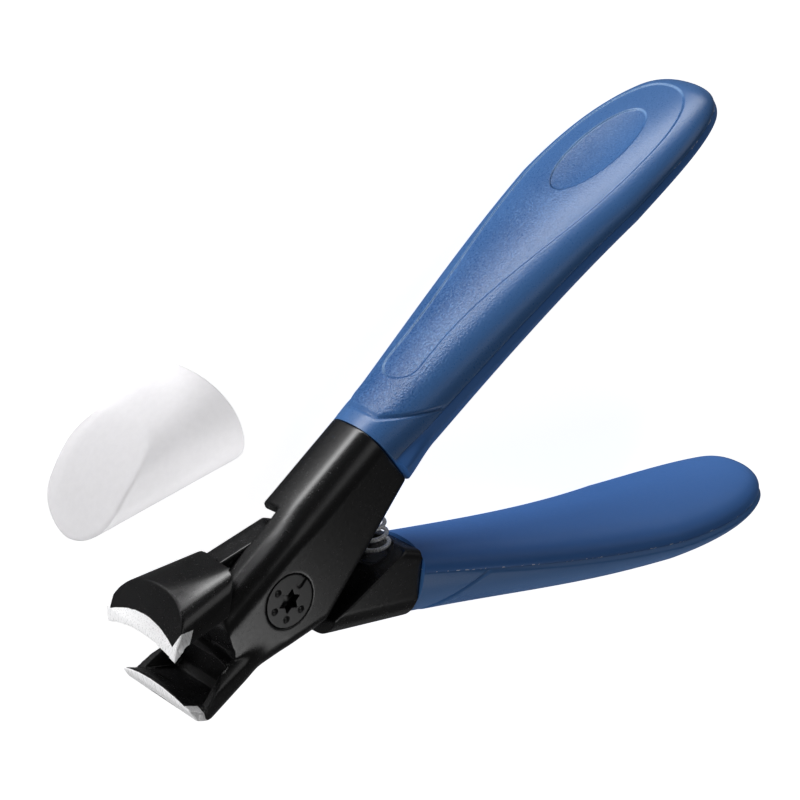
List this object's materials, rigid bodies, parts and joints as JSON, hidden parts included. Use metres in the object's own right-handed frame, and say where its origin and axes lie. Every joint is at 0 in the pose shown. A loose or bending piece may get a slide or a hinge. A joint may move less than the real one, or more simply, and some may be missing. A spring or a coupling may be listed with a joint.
{
  "type": "nail clipper",
  "caption": "Plier type toenail clipper with crowned bowed jaws on lapped steel levers, a pivot screw, a return spring, shell grips and a loose blade cap",
  "frame": {"origin": "on the pivot axis, in the back face of the pivot nut's head, which is flush with the rear lever", "axes": "X from the jaws to the handles along the middle of the angle between them, Y towards the upper handle, Z along the pivot towards the screw head"},
  "size_m": [0.1391, 0.0888, 0.0262],
  "materials": {
    "black_steel": "black satin coating, cutting edges ground bright",
    "black_screw": "black oxide",
    "spring_steel": "bright drawn wire",
    "blue_grain": "fine grained",
    "blue_smooth": "smooth satin",
    "clear_white": "milky translucent"
  },
  "bodies": {
    "rear": {"rear_lever": "black_steel", "lower_grip_outer": "blue_grain", "lower_grip_inner": "blue_smooth", "pivot_screw": "black_screw", "pivot_nut": "black_screw", "return_spring": "spring_steel"},
    "front": {"front_lever": "black_steel", "upper_grip_outer": "blue_grain", "upper_grip_inner": "blue_smooth"},
    "cap": {"blade_cap": "clear_white"}
  },
  "joints": [
    {"name": "pivot", "type": "hinge", "parent": "rear", "child": "front", "pos_m": [0, 0, 0.0062], "axis": [0, 0, -1], "range_deg": [0, 21.3], "stiffness_Nm_per_rad": 2, "springref_deg": -8.59, "deforming": ["return_spring"]},
    {"name": "cap_lift", "type": "slide", "parent": "rear", "child": "cap", "axis": [0, 0, 1], "range_m": [0, 0.04]}
  ]
}
